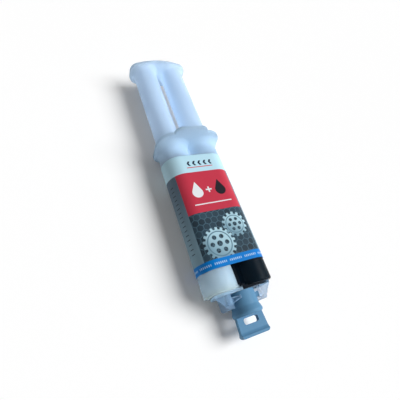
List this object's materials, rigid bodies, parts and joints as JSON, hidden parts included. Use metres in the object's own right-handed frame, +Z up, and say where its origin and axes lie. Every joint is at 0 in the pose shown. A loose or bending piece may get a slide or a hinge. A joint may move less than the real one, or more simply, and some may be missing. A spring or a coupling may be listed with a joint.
{
  "type": "epoxy syringe",
  "caption": "Side-by-side twin-barrel syringe for two-part epoxy, with a joined plunger, a finger flange, a wrapped label and a quarter-turn bayonet cap.",
  "frame": {"origin": "midway along the object's length and across its width, at the level of the finger flange's flat lower edge, which it lies on", "axes": "+Y from the capped nose to the thumb plate, +X across the barrels to the hardener side, +Z up, square to the plane of the two barrels"},
  "size_m": [0.0386, 0.1754, 0.0294],
  "materials": {
    "barrel_plastic": "translucent bluish-white polypropylene, satin",
    "plunger_plastic": "translucent bluish-white polypropylene, satin",
    "label_film": "printed plastic film in red, blue, grey and white fields, semi-gloss",
    "piston_rubber": "soft black rubber",
    "resin_paste": "cloudy ivory-white paste",
    "hardener_paste": "black paste",
    "cap_plastic": "blue-grey polypropylene, satin",
    "plug_plastic": "soft grey polyethylene"
  },
  "bodies": {
    "barrel": {"twin_barrel": "barrel_plastic", "label_wrap": "label_film", "resin_fill": "resin_paste", "hardener_fill": "hardener_paste", "cap_plug": "plug_plastic"},
    "plunger": {"plunger": "plunger_plastic", "piston_resin": "piston_rubber", "piston_hardener": "piston_rubber"},
    "cap": {"closure_cap": "cap_plastic"}
  },
  "joints": [
    {"name": "plunger_slide", "type": "slide", "parent": "barrel", "child": "plunger", "axis": [0, -1, 0], "range_m": [0, 0.0625], "deforming": ["resin_fill", "hardener_fill"]},
    {"name": "cap_turn", "type": "hinge", "parent": "barrel", "child": "cap", "pos_m": [0, -0.07135, 0.0106], "axis": [0, -1, 0], "range_deg": [0, 90]}
  ]
}
